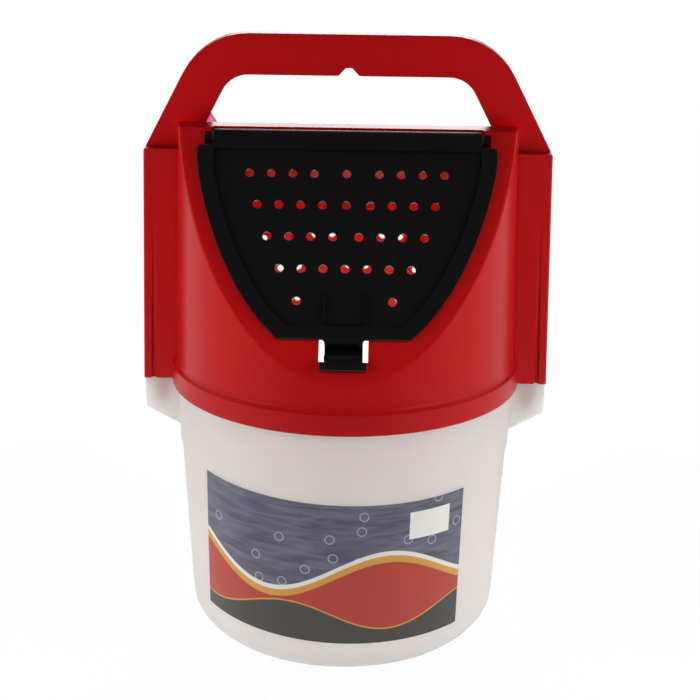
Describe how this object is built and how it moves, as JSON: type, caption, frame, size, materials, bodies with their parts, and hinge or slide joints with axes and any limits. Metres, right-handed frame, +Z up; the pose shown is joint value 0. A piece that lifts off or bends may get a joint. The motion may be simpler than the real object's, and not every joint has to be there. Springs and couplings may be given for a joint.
{
  "type": "trolling bait bucket",
  "caption": "Trolling bait bucket: translucent tapered tub under a snap-fit cover with float wings, an arched handle and a perforated, latching door on its sloping face.",
  "frame": {"origin": "middle of the tub's base, on the surface it stands on", "axes": "+Z up; the door faces -Y; +X to the right seen from the door's side, along the wings"},
  "size_m": [0.2564, 0.2214, 0.3885],
  "materials": {
    "natural_plastic": "unpigmented translucent polypropylene, satin",
    "red_plastic": "red injection-moulded polypropylene, semi-gloss",
    "black_plastic": "black injection-moulded polypropylene, semi-gloss",
    "white_foam": "moulded expanded polystyrene bead foam",
    "printed_film": null
  },
  "bodies": {
    "base": {"tub": "natural_plastic", "cover": "red_plastic", "foam_float_left": "white_foam", "foam_float_right": "white_foam", "label": "printed_film"},
    "door": {"door": "black_plastic"},
    "latch_hook": {"latch_hook": "black_plastic"}
  },
  "joints": [
    {"name": "door_hinge", "type": "hinge", "parent": "base", "child": "door", "pos_m": [0, -0.02419, 0.32792], "axis": [-1, 0, 0], "range_deg": [0, 150]},
    {"name": "latch_flex", "type": "hinge", "parent": "door", "child": "latch_hook", "pos_m": [0, -0.08707, 0.21107], "axis": [-1, 0, 0], "range_deg": [0, 9], "stiffness_Nm_per_rad": 0.2}
  ]
}
